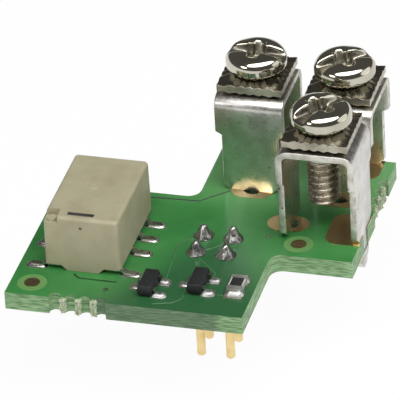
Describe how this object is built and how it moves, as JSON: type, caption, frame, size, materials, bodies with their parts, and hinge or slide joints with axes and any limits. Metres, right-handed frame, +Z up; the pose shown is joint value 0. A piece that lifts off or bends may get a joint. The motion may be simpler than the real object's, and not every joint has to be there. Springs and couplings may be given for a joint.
{
  "type": "relay module board",
  "caption": "Stepped green circuit board with a sealed signal relay, open screw terminals with toothed square clamp washers, a pin header underneath and a small transistor driver",
  "frame": {"origin": "Middle of the four-pin header, on the underside of its insulator, which is the face that seats on the board or socket below", "axes": "+X along the front edge to the right, +Y towards the back, +Z up through the board; the header's pins point to -Z"},
  "size_m": [0.0271, 0.0254, 0.0225],
  "materials": {
    "board_laminate": "glossy green solder mask over glass-fibre laminate, pale broken fibre at the edges",
    "gold_plating": "thin gold plating over copper, satin",
    "tin_plating": "bright tin plating",
    "bare_copper": "bare copper, lightly dulled",
    "bright_nickel": "bright nickel-plated sheet with faint rolling lines",
    "washer_steel": "nickel-plated steel with pressed radial teeth",
    "screw_nickel": "bright nickel-plated steel, slightly worn in the recess",
    "solder": "dull tin solder, softly rippled",
    "black_plastic": "moulded black plastic, fine matte texture",
    "beige_plastic": "moulded beige plastic, fine matte texture",
    "natural_plastic": "moulded natural plastic",
    "soft_iron": "annealed iron, dull",
    "magnet_iron": "sintered magnet, dull dark grey",
    "spring_bronze": "rolled bronze spring strip",
    "white_ceramic": "fired alumina",
    "black_glass": "black overglaze"
  },
  "bodies": {
    "board": {"circuit_board": "board_laminate", "terminal_pads": "gold_plating", "component_pads": "tin_plating", "fiducial_dots": "bare_copper", "left_bracket": "bright_nickel", "corner_bracket": "bright_nickel", "front_bracket": "bright_nickel", "terminal_solder": "solder", "header_insulator": "black_plastic", "header_pins": "gold_plating", "header_solder": "solder", "relay_cover": "beige_plastic", "relay_base": "black_plastic", "relay_coil_leads": "tin_plating", "relay_contact_leads": "tin_plating", "relay_common_leads": "tin_plating", "relay_core": "soft_iron", "relay_coil_former": "natural_plastic", "relay_winding": "bare_copper", "relay_magnet": "magnet_iron", "relay_solder": "solder", "left_transistor_body": "black_plastic", "left_transistor_leads": "tin_plating", "right_transistor_body": "black_plastic", "right_transistor_leads": "tin_plating", "transistor_solder": "solder", "resistor_ceramic": "white_ceramic", "resistor_end_caps": "tin_plating", "resistor_glaze": "black_glass", "resistor_solder": "solder"},
    "left_clamp": {"left_washer": "washer_steel"},
    "left_driver": {"left_screw": "screw_nickel"},
    "corner_clamp": {"corner_washer": "washer_steel"},
    "corner_driver": {"corner_screw": "screw_nickel"},
    "front_clamp": {"front_washer": "washer_steel"},
    "front_driver": {"front_screw": "screw_nickel"},
    "armature": {"relay_armature": "soft_iron", "relay_spring_carrier": "natural_plastic", "relay_contact_springs": "spring_bronze"}
  },
  "joints": [
    {"name": "left_lift", "type": "slide", "parent": "board", "child": "left_clamp", "axis": [0, 0, 1], "range_m": [0, 0.003]},
    {"name": "left_turn", "type": "hinge", "parent": "left_clamp", "child": "left_driver", "pos_m": [0.00092, 0.01205, 0.0144], "axis": [0, 0, 1], "range_deg": [0, 1701]},
    {"name": "corner_lift", "type": "slide", "parent": "board", "child": "corner_clamp", "axis": [0, 0, 1], "range_m": [0, 0.003]},
    {"name": "corner_turn", "type": "hinge", "parent": "corner_clamp", "child": "corner_driver", "pos_m": [0.00854, 0.01205, 0.0144], "axis": [0, 0, 1], "range_deg": [0, 1701]},
    {"name": "front_lift", "type": "slide", "parent": "board", "child": "front_clamp", "axis": [0, 0, 1], "range_m": [0, 0.003]},
    {"name": "front_turn", "type": "hinge", "parent": "front_clamp", "child": "front_driver", "pos_m": [0.00839, 0.00443, 0.0144], "axis": [0, 0, 1], "range_deg": [0, 1701]},
    {"name": "armature_rock", "type": "hinge", "parent": "board", "child": "armature", "pos_m": [-0.00971, -0.00012, 0.00766], "axis": [-1, 0, 0], "range_deg": [0, 6], "stiffness_Nm_per_rad": 0.00001}
  ],
  "couplings": [
    {"joint": "left_turn", "follows": "left_lift", "rad_per_m": 9894.8},
    {"joint": "corner_turn", "follows": "corner_lift", "rad_per_m": 9894.8},
    {"joint": "front_turn", "follows": "front_lift", "rad_per_m": 9894.8}
  ]
}
